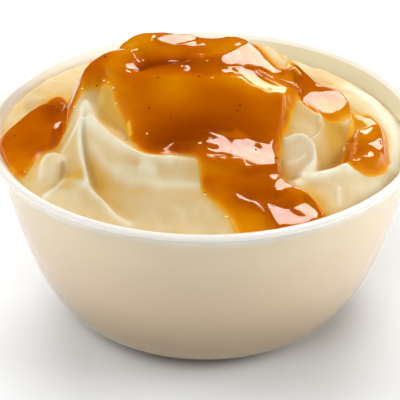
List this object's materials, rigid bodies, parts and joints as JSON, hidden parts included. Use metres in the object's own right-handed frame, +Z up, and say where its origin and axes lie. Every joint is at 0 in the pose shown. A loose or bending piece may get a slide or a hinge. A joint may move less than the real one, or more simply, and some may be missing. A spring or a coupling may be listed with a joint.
{
  "type": "mashed potato side",
  "caption": "Round glazed bowl heaped with folded mashed potato and covered with brown gravy that runs down to the rim.",
  "frame": {"origin": "on the surface the bowl stands on, under the middle of the bowl", "axes": "+Z up along the bowl's axis, -Y towards the front, +X to the right seen from the front"},
  "size_m": [0.1294, 0.1294, 0.0873],
  "materials": {
    "glazed_ceramic": "glossy ivory white glaze",
    "mash": "moist, smooth and slightly translucent, with soft folds",
    "gravy": "wet and glossy, golden where thin and dark brown where thick"
  },
  "bodies": {
    "root": {"bowl": "glazed_ceramic", "mashed_potato": "mash", "gravy": "gravy"}
  },
  "joints": []
}
